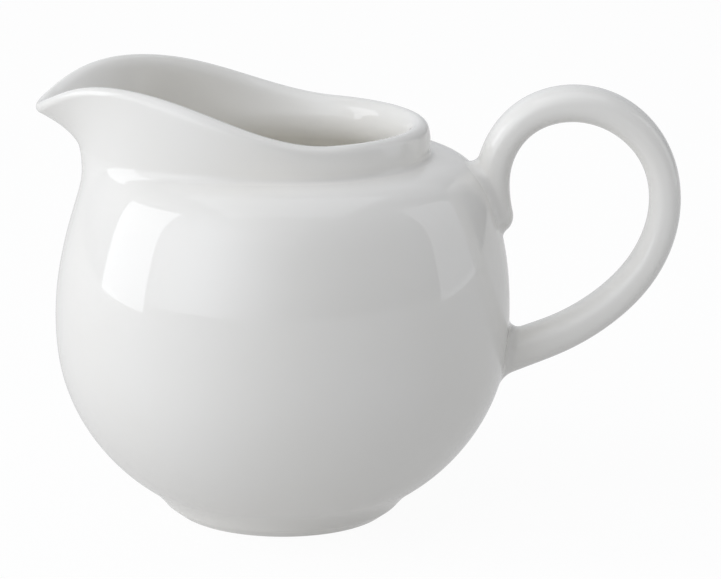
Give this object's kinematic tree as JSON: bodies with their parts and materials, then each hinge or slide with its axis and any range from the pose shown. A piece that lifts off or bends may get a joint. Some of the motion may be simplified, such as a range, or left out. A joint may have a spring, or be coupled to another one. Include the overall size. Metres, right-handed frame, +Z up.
{
  "type": "cream jug",
  "caption": "Round-bellied glazed porcelain cream jug on a low foot, with a collar that runs out into a pouring spout and an ear-shaped loop handle.",
  "frame": {"origin": "on the table, under the middle of the jug's bounding box; the bowl's axis stands 15 mm towards the spout from it", "axes": "+Z up, +X from the spout towards the handle, +Y to the left of a person who looks along +X"},
  "size_m": [0.1278, 0.0906, 0.089],
  "materials": {
    "white_glaze": "clear gloss glaze over white porcelain; only the sole of the foot ring is wiped bare"
  },
  "bodies": {
    "root": {"bowl": "white_glaze", "neck_and_spout": "white_glaze", "foot_ring": "white_glaze", "handle": "white_glaze", "upper_slip_joint": "white_glaze", "lower_slip_joint": "white_glaze"}
  },
  "joints": []
}
